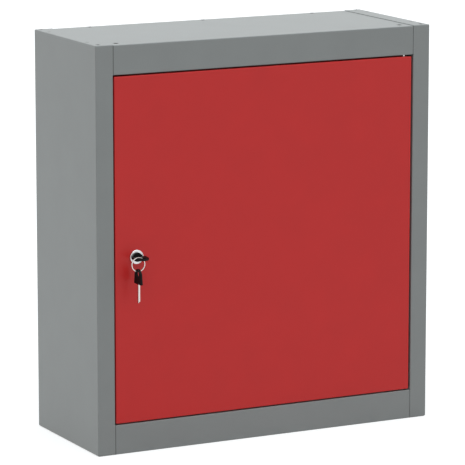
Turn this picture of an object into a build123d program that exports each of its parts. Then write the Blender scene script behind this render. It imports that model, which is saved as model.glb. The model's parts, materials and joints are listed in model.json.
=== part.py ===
from build123d import *
import math
import os

os.makedirs("parts", exist_ok=True)

# A steel tool cabinet folded from thin sheet: two side panels with front posts, a top and a base panel
# with front rails, a back panel, two shelves on slotted uprights, and one door on pivot pins with a cam lock.
# Frame: X to the right, Y from the front to the wall, Z up, origin under the middle of the base.

# Cabinet: outside sizes, and the sheet that all folded pieces share.
width = 600
depth = 234
height = 656
sheet = 0.8
bend = 0.8
fold_gap = 0.5
overrun = 5

# Side panels: front post, top, bottom and back flanges, and the jamb beside the door with its lip.
post_width = 30
side_flange = 30
hidden_flange = 12
jamb_depth = 24
jamb_lip = 15
jamb_gap = 0.5

# Top and base panels: front rail, its return over the door, the stop lip behind the door, rear flange.
rail_height = 48
rear_flange = 20
stop_lip = 10
stop_gap = 0.6
stop_inset = 32
front_hole_radius = 3.3
front_hole_inset_x = 45
front_hole_inset_y = 21
rear_hole_radius = 3.2
rear_hole_pitch = 205
rear_hole_inset = 6
corner_hole_radius = 2.2
corner_hole_inset_x = 10
corner_hole_inset_y = 12

# Back panel: its margin to the outside, and the four holes for screws into the wall.
back_margin = 1.5
wall_hole_radius = 4
wall_hole_spacing_x = 440
wall_hole_spacing_z = 496

# Flush rivets: head, shank and tail, and their places along the panel edges.
rivet_head_radius = 3
rivet_shank_radius = 1.6
rivet_head_angle = 120
rivet_tail_radius = 2.6
rivet_tail = 1.2
rivet_gap = 0.05
rivet_edge = 8
rivet_edge_back = 6.5
rivet_front_inset = 48
rivet_rear_inset = 41
back_rivet_shares = (-0.41, -0.165, 0.165, 0.41)
back_rivet_spacing_x = 260

# Slotted uprights on the side panels, shelves and shelf clips.
upright_width = 20
upright_depth = 8
upright_sheet = 1
upright_end_gap = 30
upright_front_inset = 55
upright_rear_inset = 32
slot_pitch = 25
slot_end = 25
slot_width = 12.4
slot_height = 3
shelf_gap_side = 1.2
shelf_gap_front = 33
shelf_gap_back = 7
shelf_edge = 25
shelf_hem = 10
lower_shelf_slot = 7
upper_shelf_slot = 15
clip_sheet = 1.5
clip_width = 12
clip_ledge = 14
clip_hook = 8
clip_gap = 0.1

# Door pan, its gaps in the opening, and the hat section that stiffens it.
door_depth = 18
door_setback = 0.6
door_gap_lock = 2
door_gap_hinge = 3
door_gap_top = 2.5
door_gap_bottom = 2
door_lip = 14
mitre_gap = 0.8
stiffener_crown = 40
stiffener_foot = 14
stiffener_depth = 12
stiffener_end_gap = 30

# Pivot hinge: headed pins held in brackets inside the door, turning in flanged bushes in the rails.
pin_radius = 2
pin_inset = 11
pin_setback = 7
pin_gap = 0.05
pin_head_radius = 3.5
pin_head = 1.5
pin_chamfer = 0.5
pin_end_gap = 0.5
hinge_notch = 4.5
bush_radius = 4
bush_gap = 0.05
bush_flange_radius = 5
bush_flange = 1.5
bush_length = 6
bush_play = 0.2
bracket_sheet = 1.5
bracket_width = 19
bracket_height = 22
bracket_back_gap = 2

# Cam lock: stepped bezel, barrel with two flats, nut, plug with a cap, cam and its screw.
lock_inset = 36.5
lock_drop = 10.15
bezel_radius = 11.5
bezel_height = 3.5
bezel_edge = 1.2
bezel_band_radius = 9.2
bezel_groove_width = 0.7
bezel_groove = 0.5
barrel_radius = 9.5
barrel_flats = 16
barrel_gap = 0.1
nut_flats = 24
nut_height = 4
plug_radius = 6.5
plug_gap = 0.08
cap_radius = 7.4
cap_height = 3
cap_gap = 0.1
cap_round = 0.8
shank_square = 8
cam_sheet = 2.5
cam_width = 16
cam_reach = 47
cam_lip_gap = 1
cam_gap = 0.1
cam_barrel_gap = 0.4
washer_radius = 6
washer_height = 1
screw_radius = 2.5
screw_length = 4
screw_flats = 8
screw_head = 3.5

# Keys: flat blade in a plastic bow, and the wire ring that holds the spare key.
blade_width = 8
blade_sheet = 1.8
blade_length = 30
blade_tang = 8
blade_tip = 2.6
blade_gap = 0.1
keyway_gap = 0.3
bow_standoff = 1.2
bow_base = 26
bow_waist = 22
bow_length = 24.3
bow_waist_share = 0.6
bow_sheet = 3.5
bow_corner = 2
bow_round = 0.7
bow_rim = 3
bow_hole_length = 10
bow_hole_width = 9.4
ring_radius = 11.1
ring_wire_radius = 0.6
ring_hang_angle = 45
ring_split_angle = 8
ring_spare_gap = 0.35

# Faces and edges that the pieces share.
half_width = width / 2
front = -depth / 2
back = depth / 2
shell_back = back - sheet
shell_bottom = sheet
opening_x = half_width - post_width
opening_bottom = rail_height
opening_top = height - rail_height
nest_half = half_width - sheet - bend - fold_gap
rail_front = front + sheet
top_face = height - sheet
rear_half = half_width - hidden_flange - fold_gap
door_front = front + door_setback
door_back = door_front + door_depth
door_left = -opening_x + door_gap_lock
door_right = opening_x - door_gap_hinge
door_bottom = opening_bottom + door_gap_bottom
door_top = opening_top - door_gap_top
door_width = door_right - door_left
door_height = door_top - door_bottom
door_mid_x = (door_left + door_right) / 2
door_mid_z = (door_bottom + door_top) / 2
door_skin = door_front + sheet
stop_face = door_back + stop_gap
pin_x = door_right - pin_inset
pin_y = door_front + pin_setback
lock_x = door_left + lock_inset
lock_z = door_mid_z - lock_drop


def fold_radii(points, thickness):
    """Bend radius at each corner of a fold line that has the sheet on its left."""
    radii = []
    for before, corner, after in zip(points, points[1:], points[2:]):
        run = (corner[0] - before[0], corner[1] - before[1])
        turn = run[0] * (after[1] - corner[1]) - run[1] * (after[0] - corner[0])
        radii.append(bend + thickness if turn > 0 else bend)
    return radii


def folded_section(plane, points, thickness):
    """Section of a folded sheet that lies on the left of its fold line."""
    with BuildSketch(plane) as section:
        with BuildLine():
            FilletPolyline(*points, radius=fold_radii(points, thickness))
            offset(amount=thickness, side=Side.LEFT)
        make_face()
    return section.sketch


def span_box(x_span, y_span, z_span):
    """Private box between two limits on each axis, for cuts."""
    sizes = [span[1] - span[0] for span in (x_span, y_span, z_span)]
    middle = [(span[0] + span[1]) / 2 for span in (x_span, y_span, z_span)]
    return Pos(*middle) * Box(*sizes, mode=Mode.PRIVATE)


# Corner holes through the top and the side flanges, the rear ones in line with the row along the back.
corner_hole_ys = (front + corner_hole_inset_y, back - rear_hole_inset)
corner_holes = [(side * (half_width - corner_hole_inset_x), y) for side in (-1, 1) for y in corner_hole_ys]

# Rivet places: on the top and base near the sides, and on the back along all four edges.
rivet_x = half_width - rivet_edge
rivet_ys = (front + rivet_front_inset, back - rivet_rear_inset)
top_rivet_places = [(side * rivet_x, y) for side in (-1, 1) for y in rivet_ys]
back_rivet_x = half_width - rivet_edge_back
back_rivet_zs = [height / 2 + share * height for share in back_rivet_shares]
side_rivet_places = [(side * back_rivet_x, z) for side in (-1, 1) for z in back_rivet_zs]
rear_flange_zs = (rear_flange / 2, top_face - rear_flange / 2)
flange_rivet_places = [(side * back_rivet_spacing_x / 2, z) for side in (-1, 1) for z in rear_flange_zs]
top_plane = Plane.XY.offset(height)
base_plane = Plane((0, 0, 0), x_dir=(1, 0, 0), z_dir=(0, 0, -1))
back_plane = Plane((0, back, 0), x_dir=(1, 0, 0), z_dir=(0, 1, 0))


def plane_places(plane, places):
    """Planes at X and Y or Z places on a face, with the face's own outward direction."""
    if plane.z_dir.Y:
        return [Plane((x, plane.origin.Y, z), x_dir=plane.x_dir, z_dir=plane.z_dir) for x, z in places]
    return [Plane((x, y, plane.origin.Z), x_dir=plane.x_dir, z_dir=plane.z_dir) for x, y in places]


def flush_rivets(plane, places):
    """One flush rivet at each place: head in the outer sheet, shank through both, tail inside."""
    head_drop = (rivet_head_radius - rivet_shank_radius) / math.tan(math.radians(rivet_head_angle / 2))
    grip = 2 * sheet
    with BuildPart() as rivets:
        for place in plane_places(plane, places):
            section = Plane(place.origin, x_dir=place.x_dir, z_dir=place.x_dir.cross(place.z_dir))
            with BuildSketch(section):
                with BuildLine():
                    Polyline(
                        (0, 0),
                        (rivet_head_radius - rivet_gap, 0),
                        (rivet_shank_radius, -head_drop),
                        (rivet_shank_radius, -grip),
                        (rivet_tail_radius, -grip),
                        (rivet_tail_radius, -grip - rivet_tail),
                        (0, -grip - rivet_tail),
                        close=True,
                    )
                make_face()
            revolve(axis=Axis(place.origin, place.z_dir))
    return rivets.part


# Side panel: a tray with its web outside and four flanges. The front flange is the post, and between the
# rails it folds back into the jamb beside the door and the lip behind which the cam locks.
with BuildPart() as left_side_panel:
    with BuildSketch(Plane.YZ.offset(-half_width)):
        with Locations(((front + shell_back) / 2, (shell_bottom + height) / 2)):
            Rectangle(shell_back - front, height - shell_bottom)
    extrude(amount=side_flange)
    fillet(left_side_panel.edges().filter_by(Axis.X), radius=bend + sheet)
    fillet(left_side_panel.faces().sort_by(Axis.X)[0].edges(), radius=bend + sheet)
    offset(amount=-sheet, openings=left_side_panel.faces().sort_by(Axis.X)[-1])
    jamb_span = (opening_bottom + jamb_gap, opening_top - jamb_gap)
    add(
        span_box(
            (-opening_x - bend - sheet, -opening_x + overrun),
            (front - overrun, front + sheet + bend),
            jamb_span,
        ),
        mode=Mode.SUBTRACT,
    )
    jamb_line = [
        (-opening_x - post_width / 2, front),
        (-opening_x, front),
        (-opening_x, front + jamb_depth),
        (-opening_x - jamb_lip, front + jamb_depth),
    ]
    extrude(
        folded_section(Plane.XY.offset(jamb_span[0]), jamb_line, sheet),
        amount=jamb_span[1] - jamb_span[0],
    )
    # Slot at the corner of the bottom flange, where the base rail comes up behind the post.
    slot_end_y = rail_front + sheet + bend + fold_gap
    add(
        span_box(
            (-half_width + sheet + bend, -opening_x + overrun),
            (rail_front, slot_end_y),
            (0, shell_bottom + sheet + bend),
        ),
        mode=Mode.SUBTRACT,
    )
    # The bottom and rear flanges are trimmed narrower than the post and the top flange, which show.
    trim_span = (-half_width + hidden_flange, -half_width + side_flange + overrun)
    trim_back = shell_back - sheet - bend - fold_gap
    add(
        span_box(trim_span, (slot_end_y, back), (0, shell_bottom + sheet + bend)),
        mode=Mode.SUBTRACT,
    )
    add(span_box(trim_span, (trim_back, back), (0, height + overrun)), mode=Mode.SUBTRACT)
    with Locations(plane_places(top_plane, top_rivet_places[:2])):
        CounterSinkHole(rivet_shank_radius + rivet_gap, rivet_head_radius, 2 * sheet, rivet_head_angle)
    with Locations(plane_places(top_plane, corner_holes[:2])):
        Hole(corner_hole_radius, 2 * sheet)
    with Locations(plane_places(base_plane, top_rivet_places[:2])):
        Hole(rivet_shank_radius + rivet_gap, shell_bottom + overrun)
    with Locations(plane_places(back_plane, side_rivet_places[:len(back_rivet_zs)])):
        Hole(rivet_shank_radius + rivet_gap, sheet + overrun)
left_side_panel.part.label = "left_side_panel"
export_step(left_side_panel.part, "parts/left_side_panel.step")

with BuildPart() as right_side_panel:
    mirror(left_side_panel.part, about=Plane.YZ)
right_side_panel.part.label = "right_side_panel"
export_step(right_side_panel.part, "parts/right_side_panel.step")

# Top panel: rear flange, web, front rail, return over the door and stop lip, folded from one sheet.
# Its ends slide under the flanges of the side panels and its rail tucks in behind the posts.
top_line = [
    (shell_back, top_face - rear_flange),
    (shell_back, top_face),
    (rail_front, top_face),
    (rail_front, opening_top),
    (stop_face, opening_top),
    (stop_face, opening_top - stop_lip),
]
stop_half = opening_x - stop_inset
return_end = stop_face - bend - fold_gap
with BuildPart() as top_panel:
    extrude(folded_section(Plane.YZ.offset(-nest_half), top_line, sheet), amount=2 * nest_half)
    for side in (-1, 1):
        rear_span = sorted((side * rear_half, side * (nest_half + overrun)))
        stop_span = sorted((side * stop_half, side * (nest_half + overrun)))
        add(
            span_box(
                rear_span,
                (shell_back - sheet - bend - fold_gap, back),
                (top_face - rear_flange - overrun, height),
            ),
            mode=Mode.SUBTRACT,
        )
        add(
            span_box(
                stop_span,
                (return_end, stop_face + overrun),
                (opening_top - stop_lip - overrun, opening_top + sheet + overrun),
            ),
            mode=Mode.SUBTRACT,
        )
    front_holes = [
        (side * (half_width - front_hole_inset_x), front + front_hole_inset_y) for side in (-1, 1)
    ]
    rear_holes = [(step * rear_hole_pitch, back - rear_hole_inset) for step in (-1, 0, 1)]
    with Locations(plane_places(Plane.XY.offset(top_face), front_holes)):
        Hole(front_hole_radius, sheet + overrun)
    with Locations(plane_places(Plane.XY.offset(top_face), rear_holes)):
        Hole(rear_hole_radius, sheet + overrun)
    with Locations(plane_places(Plane.XY.offset(top_face), corner_holes)):
        Hole(corner_hole_radius, sheet + overrun)
    with Locations(plane_places(Plane.XY.offset(top_face), top_rivet_places)):
        Hole(rivet_shank_radius + rivet_gap, sheet + overrun)
    with Locations(plane_places(back_plane, flange_rivet_places[1::2])):
        Hole(rivet_shank_radius + rivet_gap, 2 * sheet + overrun)
    with Locations(Plane.XY.offset(opening_top + sheet) * Pos(pin_x, pin_y)):
        Hole(bush_radius + bush_gap, sheet + overrun)
top_panel.part.label = "top_panel"
export_step(top_panel.part, "parts/top_panel.step")

# Base panel: the same fold the other way up, with its web under the side panels, so the cabinet
# stands on it.
base_line = [
    (stop_face, opening_bottom + stop_lip),
    (stop_face, opening_bottom),
    (rail_front, opening_bottom),
    (rail_front, 0),
    (shell_back, 0),
    (shell_back, rear_flange),
]
with BuildPart() as base_panel:
    extrude(folded_section(Plane.YZ.offset(-nest_half), base_line, sheet), amount=2 * nest_half)
    for side in (-1, 1):
        rear_span = sorted((side * rear_half, side * (nest_half + overrun)))
        stop_span = sorted((side * stop_half, side * (nest_half + overrun)))
        add(
            span_box(
                rear_span,
                (shell_back - sheet - bend - fold_gap, back),
                (0, rear_flange + overrun),
            ),
            mode=Mode.SUBTRACT,
        )
        add(
            span_box(
                stop_span,
                (return_end, stop_face + overrun),
                (opening_bottom - sheet - overrun, opening_bottom + stop_lip + overrun),
            ),
            mode=Mode.SUBTRACT,
        )
    with Locations(plane_places(base_plane, top_rivet_places)):
        CounterSinkHole(rivet_shank_radius + rivet_gap, rivet_head_radius, 2 * sheet, rivet_head_angle)
    with Locations(plane_places(back_plane, flange_rivet_places[::2])):
        Hole(rivet_shank_radius + rivet_gap, 2 * sheet + overrun)
    with Locations(Plane.XY.offset(opening_bottom) * Pos(pin_x, pin_y)):
        Hole(bush_radius + bush_gap, sheet + overrun)
base_panel.part.label = "base_panel"
export_step(base_panel.part, "parts/base_panel.step")

# Back panel: one flat sheet over the rear flanges, riveted round its edge, with four wall holes.
wall_holes = [
    (x_side * wall_hole_spacing_x / 2, height / 2 + z_side * wall_hole_spacing_z / 2)
    for x_side in (-1, 1)
    for z_side in (-1, 1)
]
with BuildPart() as back_panel:
    with BuildSketch(Plane.XZ.offset(-back)):
        with Locations((0, height / 2)):
            Rectangle(width - 2 * back_margin, height - 2 * back_margin)
        fillet(vertices(), radius=bend + sheet)
    extrude(amount=sheet)
    with Locations(plane_places(back_plane, side_rivet_places + flange_rivet_places)):
        CounterSinkHole(rivet_shank_radius + rivet_gap, rivet_head_radius, 2 * sheet, rivet_head_angle)
    with Locations(plane_places(back_plane, wall_holes)):
        Hole(wall_hole_radius, 2 * sheet)
back_panel.part.label = "back_panel"
export_step(back_panel.part, "parts/back_panel.step")

# Flush rivets that hold the panels together.
rivet_sets = {
    "top_rivets": (top_plane, top_rivet_places),
    "base_rivets": (base_plane, top_rivet_places),
    "back_rivets": (back_plane, side_rivet_places + flange_rivet_places),
}
for name, (plane, places) in rivet_sets.items():
    rivets = flush_rivets(plane, places)
    rivets.label = name
    export_step(rivets, f"parts/{name}.step")

# Slotted uprights: channels with their feet on the side panels and a row of slots for the shelf clips.
upright_face = half_width - sheet - upright_depth
upright_bottom = upright_end_gap
upright_length = height - 2 * upright_end_gap
upright_ys = {"front": front + upright_front_inset, "rear": back - upright_rear_inset}
slot_first = upright_bottom + slot_end
slot_count = int((upright_length - 2 * slot_end) / slot_pitch) + 1
for row, y in upright_ys.items():
    upright_line = [
        (-half_width + sheet, y - upright_width / 2),
        (-upright_face, y - upright_width / 2),
        (-upright_face, y + upright_width / 2),
        (-half_width + sheet, y + upright_width / 2),
    ]
    with BuildPart() as left_upright:
        extrude(
            folded_section(Plane.XY.offset(upright_bottom), upright_line, upright_sheet),
            amount=upright_length,
        )
        with BuildSketch(Plane.YZ.offset(-upright_face)):
            for step in range(slot_count):
                with Locations((y, slot_first + step * slot_pitch)):
                    Rectangle(slot_width, slot_height, align=(Align.CENTER, Align.MIN))
        extrude(amount=-2 * upright_sheet, mode=Mode.SUBTRACT)
    left_upright.part.label = f"{row}_left_upright"
    export_step(left_upright.part, f"parts/{row}_left_upright.step")
    with BuildPart() as right_upright:
        mirror(left_upright.part, about=Plane.YZ)
    right_upright.part.label = f"{row}_right_upright"
    export_step(right_upright.part, f"parts/{row}_right_upright.step")

# Shelves: trays with hemmed front and rear edges, each on four hooked clips in the upright slots.
shelf_half = upright_face - shelf_gap_side
shelf_front = front + shelf_gap_front
shelf_back = back - shelf_gap_back
hook_back = upright_face + upright_sheet + clip_gap + clip_sheet
for level, slot in {"lower": lower_shelf_slot, "upper": upper_shelf_slot}.items():
    clip_bottom = slot_first + slot * slot_pitch
    shelf_top = clip_bottom + clip_sheet + sheet
    shelf_line = [
        (shelf_back - shelf_hem, shelf_top - shelf_edge),
        (shelf_back, shelf_top - shelf_edge),
        (shelf_back, shelf_top),
        (shelf_front, shelf_top),
        (shelf_front, shelf_top - shelf_edge),
        (shelf_front + shelf_hem, shelf_top - shelf_edge),
    ]
    with BuildPart() as shelf:
        extrude(folded_section(Plane.YZ.offset(-shelf_half), shelf_line, sheet), amount=2 * shelf_half)
    shelf.part.label = f"{level}_shelf"
    export_step(shelf.part, f"parts/{level}_shelf.step")
    clip_line = [
        (-hook_back, clip_bottom + clip_hook),
        (-hook_back, clip_bottom),
        (-upright_face + clip_ledge, clip_bottom),
    ]
    with BuildPart() as shelf_clips:
        for y in upright_ys.values():
            extrude(
                folded_section(Plane.XZ.offset(-y - clip_width / 2), clip_line, clip_sheet),
                amount=clip_width,
            )
        mirror(about=Plane.YZ)
    shelf_clips.part.label = f"{level}_shelf_clips"
    export_step(shelf_clips.part, f"parts/{level}_shelf_clips.step")

# Door: a pan with an inner lip on all four sides, mitred at its corners. Its top and bottom walls are
# cut away beyond the pins, and the lock sits in a round hole with two flats.
lock_plane = Plane((lock_x, door_front, lock_z), x_dir=(1, 0, 0), z_dir=(0, -1, 0))
with BuildPart() as door_panel:
    with BuildSketch(Plane.XZ.offset(-door_back)):
        with Locations((door_mid_x, door_mid_z)):
            Rectangle(door_width, door_height)
    extrude(amount=door_depth)
    fillet(door_panel.edges().filter_by(Axis.Y), radius=bend + sheet)
    fillet(door_panel.faces().sort_by(Axis.Y)[0].edges(), radius=bend + sheet)
    offset(amount=-sheet, openings=door_panel.faces().sort_by(Axis.Y)[-1])
    with BuildSketch(Plane.XZ.offset(-door_back)):
        with Locations((door_mid_x, door_mid_z)):
            Rectangle(door_width - sheet, door_height - sheet)
            Rectangle(door_width - 2 * door_lip, door_height - 2 * door_lip, mode=Mode.SUBTRACT)
            for x_side, z_side in ((-1, -1), (-1, 1), (1, -1), (1, 1)):
                corner = (x_side * (door_width / 2 - door_lip), z_side * (door_height / 2 - door_lip))
                with Locations(corner):
                    Rectangle(
                        2 * door_lip, mitre_gap, rotation=45 * x_side * z_side, mode=Mode.SUBTRACT
                    )
    extrude(amount=sheet)
    for z_edge in (door_bottom, door_top):
        add(
            span_box(
                (pin_x + hinge_notch, door_right - sheet),
                (door_skin, door_back + overrun),
                (z_edge - sheet, z_edge + sheet),
            ),
            mode=Mode.SUBTRACT,
        )
        with Locations(Plane.XY.offset(z_edge) * Pos(pin_x, pin_y)):
            Cylinder(pin_radius + pin_gap, 4 * sheet, mode=Mode.SUBTRACT)
    with BuildSketch(lock_plane):
        Circle(barrel_radius + barrel_gap)
        Rectangle(
            barrel_flats + 2 * barrel_gap, 2 * barrel_radius + overrun, mode=Mode.INTERSECT
        )
    extrude(amount=-2 * sheet, mode=Mode.SUBTRACT)
door_panel.part.label = "door_panel"
export_step(door_panel.part, "parts/door_panel.step")

# Door stiffener: a hat section with its two feet welded to the inside of the door skin.
crown_left = door_mid_x - stiffener_crown / 2
crown_right = door_mid_x + stiffener_crown / 2
stiffener_line = [
    (crown_left - stiffener_foot, door_skin),
    (crown_left, door_skin),
    (crown_left, door_skin + stiffener_depth),
    (crown_right, door_skin + stiffener_depth),
    (crown_right, door_skin),
    (crown_right + stiffener_foot, door_skin),
]
with BuildPart() as door_stiffener:
    extrude(
        folded_section(Plane.XY.offset(door_bottom + stiffener_end_gap), stiffener_line, sheet),
        amount=door_height - 2 * stiffener_end_gap,
    )
door_stiffener.part.label = "door_stiffener"
export_step(door_stiffener.part, "parts/door_stiffener.step")

# Pivot hinge: at each end a channel bracket in the door carries a headed pin, which passes through the
# door's wall and turns in a flanged bush in the rail's return. The lower bush carries the door.
door_inner_top = door_top - sheet
door_inner_bottom = door_bottom + sheet
bracket_reach = door_back - sheet - bracket_back_gap
upper_bracket_line = [
    (bracket_reach, door_inner_top),
    (door_skin, door_inner_top),
    (door_skin, door_inner_top - bracket_height),
    (bracket_reach, door_inner_top - bracket_height),
]
lower_bracket_line = [
    (bracket_reach, door_inner_bottom + bracket_height),
    (door_skin, door_inner_bottom + bracket_height),
    (door_skin, door_inner_bottom),
    (bracket_reach, door_inner_bottom),
]
for end, line in {"upper": upper_bracket_line, "lower": lower_bracket_line}.items():
    with BuildPart() as pin_bracket:
        extrude(
            folded_section(Plane.YZ.offset(pin_x - bracket_width / 2), line, bracket_sheet),
            amount=bracket_width,
        )
        for leg_z in (line[0][1], line[-1][1]):
            with Locations((pin_x, pin_y, leg_z)):
                Cylinder(pin_radius + pin_gap, 4 * bracket_sheet, mode=Mode.SUBTRACT)
    pin_bracket.part.label = f"{end}_pin_bracket"
    export_step(pin_bracket.part, f"parts/{end}_pin_bracket.step")

# Each pin and bush is drawn along its own way out of the door: up at the top, down at the bottom.
upper_axis = Plane((pin_x, pin_y, door_top), x_dir=(1, 0, 0), z_dir=(0, 0, 1))
lower_axis = Plane((pin_x, pin_y, door_bottom), x_dir=(1, 0, 0), z_dir=(0, 0, -1))
lower_flange = door_gap_bottom - bush_play
upper_bush_end = door_gap_top + sheet + bush_flange + bush_length
lower_bush_end = door_gap_bottom + sheet + bush_length
for end, axis, bush_end in (
    ("upper", upper_axis, upper_bush_end),
    ("lower", lower_axis, lower_bush_end),
):
    with BuildPart() as hinge_pin:
        head_face = -sheet - bracket_height
        with BuildSketch(axis.offset(head_face)):
            Circle(pin_radius)
        extrude(amount=bush_end - pin_end_gap - head_face)
        chamfer(hinge_pin.faces().sort_by(Axis(axis.origin, axis.z_dir))[-1].edges(), pin_chamfer)
        with BuildSketch(axis.offset(head_face)):
            Circle(pin_head_radius)
        extrude(amount=-pin_head)
    hinge_pin.part.label = f"{end}_hinge_pin"
    export_step(hinge_pin.part, f"parts/{end}_hinge_pin.step")

with BuildPart() as upper_hinge_bush:
    with BuildSketch(upper_axis.offset(door_gap_top)):
        Circle(bush_radius)
    extrude(amount=upper_bush_end - door_gap_top)
    with BuildSketch(upper_axis.offset(door_gap_top + sheet)):
        Circle(bush_flange_radius)
    extrude(amount=bush_flange)
    with Locations(upper_axis.offset(upper_bush_end)):
        Hole(pin_radius + pin_gap)
upper_hinge_bush.part.label = "upper_hinge_bush"
export_step(upper_hinge_bush.part, "parts/upper_hinge_bush.step")

with BuildPart() as lower_hinge_bush:
    with BuildSketch(lower_axis.offset(bush_play)):
        Circle(bush_flange_radius)
    extrude(amount=lower_flange)
    with BuildSketch(lower_axis.offset(door_gap_bottom)):
        Circle(bush_radius)
    extrude(amount=lower_bush_end - door_gap_bottom)
    with Locations(lower_axis.offset(lower_bush_end)):
        Hole(pin_radius + pin_gap)
lower_hinge_bush.part.label = "lower_hinge_bush"
export_step(lower_hinge_bush.part, "parts/lower_hinge_bush.step")

# Lock housing: turned bezel with a raised rim, a groove and an inner band, and a barrel with two flats.
cam_front = front + jamb_depth + cam_lip_gap
barrel_back = cam_front - cam_barrel_gap
barrel_length = barrel_back - door_front
bore_radius = plug_radius + plug_gap
rim_inner = bezel_band_radius + bezel_groove_width
lock_section = Plane((lock_x, door_front, lock_z), x_dir=(1, 0, 0), z_dir=(0, 0, -1))
lock_axis = Axis((lock_x, door_front, lock_z), (0, -1, 0))
with BuildPart() as lock_housing:
    with BuildSketch(lock_section):
        with BuildLine():
            Polyline(
                (bore_radius, bezel_height),
                (bezel_band_radius, bezel_height),
                (bezel_band_radius, bezel_height - bezel_groove),
                (rim_inner, bezel_height - bezel_groove),
                (rim_inner, bezel_height),
                (bezel_radius - bezel_edge, bezel_height),
            )
            RadiusArc(
                (bezel_radius - bezel_edge, bezel_height),
                (bezel_radius, bezel_height - bezel_edge),
                bezel_edge,
            )
            Polyline(
                (bezel_radius, bezel_height - bezel_edge),
                (bezel_radius, 0),
                (barrel_radius, 0),
                (barrel_radius, -barrel_length),
                (bore_radius, -barrel_length),
                (bore_radius, bezel_height),
            )
        make_face()
    revolve(axis=lock_axis)
    with BuildSketch(lock_plane):
        Circle(barrel_radius + overrun)
        Rectangle(barrel_flats, 4 * barrel_radius, mode=Mode.SUBTRACT)
    extrude(amount=-barrel_length, mode=Mode.SUBTRACT)
lock_housing.part.label = "lock_housing"
export_step(lock_housing.part, "parts/lock_housing.step")

with BuildPart() as lock_nut:
    with BuildSketch(lock_plane.offset(-sheet)):
        RegularPolygon(nut_flats / 2, 6, major_radius=False)
        Circle(barrel_radius + barrel_gap, mode=Mode.SUBTRACT)
    extrude(amount=-nut_height)
lock_nut.part.label = "lock_nut"
export_step(lock_nut.part, "parts/lock_nut.step")

# Lock plug with its keyway, the square shank for the cam, and the moulded cap at its front. The key goes in
# until its bow reaches the standoff over the cap, or its tip reaches the end of the keyway.
cap_back = bezel_height + cap_gap
cap_front = cap_back + cap_height
shank_length = cam_barrel_gap + cam_sheet - cam_gap
keyway_depth = barrel_length + shank_length - screw_length - keyway_gap
bow_face = max(cap_front + bow_standoff, blade_length + keyway_gap - keyway_depth)
with BuildPart() as lock_plug:
    with BuildSketch(lock_plane.offset(cap_back)):
        Circle(plug_radius)
    extrude(amount=-cap_back - barrel_length)
    with BuildSketch(lock_plane.offset(-barrel_length)):
        Rectangle(shank_square, shank_square)
    extrude(amount=-shank_length)
    with BuildSketch(lock_plane.offset(cap_back)):
        Rectangle(blade_width + 2 * blade_gap, blade_sheet + 2 * blade_gap)
    extrude(amount=-cap_back - keyway_depth, mode=Mode.SUBTRACT)
    with BuildSketch(lock_plane.offset(-barrel_length - shank_length)):
        Circle(screw_radius + cam_gap)
    extrude(amount=screw_length, mode=Mode.SUBTRACT)
lock_plug.part.label = "lock_plug"
export_step(lock_plug.part, "parts/lock_plug.step")

with BuildPart() as lock_cap:
    with BuildSketch(lock_plane.offset(cap_back)):
        Circle(cap_radius)
    extrude(amount=cap_height)
    fillet(lock_cap.faces().sort_by(Axis.Y)[0].edges(), radius=cap_round)
    with BuildSketch(lock_plane.offset(cap_back)):
        Rectangle(blade_width + 2 * blade_gap, blade_sheet + 2 * blade_gap)
    extrude(amount=cap_height, mode=Mode.SUBTRACT)
lock_cap.part.label = "lock_cap"
export_step(lock_cap.part, "parts/lock_cap.step")

# Cam on the square shank, upright when unlocked, with its washer and screw.
cam_slot = cam_reach - cam_width / 2
cam_plane = lock_plane.offset(-barrel_length - cam_barrel_gap)
with BuildPart() as lock_cam:
    with BuildSketch(cam_plane):
        with Locations((0, cam_slot / 2)):
            SlotCenterToCenter(cam_slot, cam_width, rotation=90)
        Rectangle(shank_square + 2 * cam_gap, shank_square + 2 * cam_gap, mode=Mode.SUBTRACT)
    extrude(amount=-cam_sheet)
lock_cam.part.label = "lock_cam"
export_step(lock_cam.part, "parts/lock_cam.step")

with BuildPart() as cam_washer:
    with BuildSketch(cam_plane.offset(-cam_sheet)):
        Circle(washer_radius)
        Circle(screw_radius + cam_gap, mode=Mode.SUBTRACT)
    extrude(amount=-washer_height)
cam_washer.part.label = "cam_washer"
export_step(cam_washer.part, "parts/cam_washer.step")

screw_plane = cam_plane.offset(-cam_sheet - washer_height)
with BuildPart() as cam_screw:
    with BuildSketch(screw_plane):
        RegularPolygon(screw_flats / 2, 6, major_radius=False)
    extrude(amount=-screw_head)
    with BuildSketch(screw_plane):
        Circle(screw_radius)
    extrude(amount=washer_height + screw_length - cam_gap)
cam_screw.part.label = "cam_screw"
export_step(cam_screw.part, "parts/cam_screw.step")

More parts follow.
